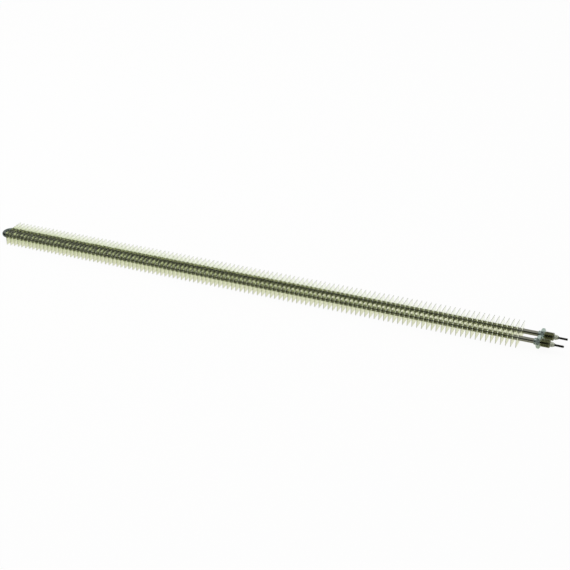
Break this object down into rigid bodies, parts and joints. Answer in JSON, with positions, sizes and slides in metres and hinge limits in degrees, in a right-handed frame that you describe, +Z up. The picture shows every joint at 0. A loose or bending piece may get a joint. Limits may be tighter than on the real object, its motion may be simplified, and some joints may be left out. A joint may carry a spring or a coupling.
{
  "type": "finned tubular heating element",
  "caption": "U-bent sheathed heating element with a long row of rectangular fins over both legs, a threaded bushing, ceramic bead and stud terminal on each end.",
  "frame": {"origin": "on the surface that the fins' lower edges rest on, under the middle of the overall length and midway between the legs", "axes": "+X along the legs from the bend towards the terminals, +Y from the front leg to the rear leg, +Z up"},
  "size_m": [1.1022, 0.05, 0.025],
  "materials": {
    "sheath_steel": "heat-darkened, olive to blue-grey oxide",
    "fin_steel": "pale olive passivated zinc, satin",
    "bushing_steel": "turned and zinc plated, dull",
    "stud_steel": "blackened",
    "bead_ceramic": "unglazed, off-white",
    "seal_silicone": "matte",
    "magnesia": "packed powder",
    "coil_wire": "drawn resistance wire"
  },
  "bodies": {
    "root": {"sheath_tube": "sheath_steel", "magnesia_filling": "magnesia", "resistance_coil": "coil_wire", "threaded_bushing_front": "bushing_steel", "insulator_bead_front": "bead_ceramic", "end_seal_front": "seal_silicone", "terminal_stud_front": "stud_steel", "threaded_bushing_rear": "bushing_steel", "insulator_bead_rear": "bead_ceramic", "end_seal_rear": "seal_silicone", "terminal_stud_rear": "stud_steel", "fin_bank_01": "fin_steel", "fin_bank_02": "fin_steel", "fin_bank_03": "fin_steel", "fin_bank_04": "fin_steel", "fin_bank_05": "fin_steel", "fin_bank_06": "fin_steel", "fin_bank_07": "fin_steel", "fin_bank_08": "fin_steel", "fin_bank_09": "fin_steel", "fin_bank_10": "fin_steel", "fin_bank_11": "fin_steel", "fin_bank_12": "fin_steel", "fin_bank_13": "fin_steel", "fin_bank_14": "fin_steel", "fin_bank_15": "fin_steel", "fin_bank_16": "fin_steel", "fin_bank_17": "fin_steel"}
  },
  "joints": []
}
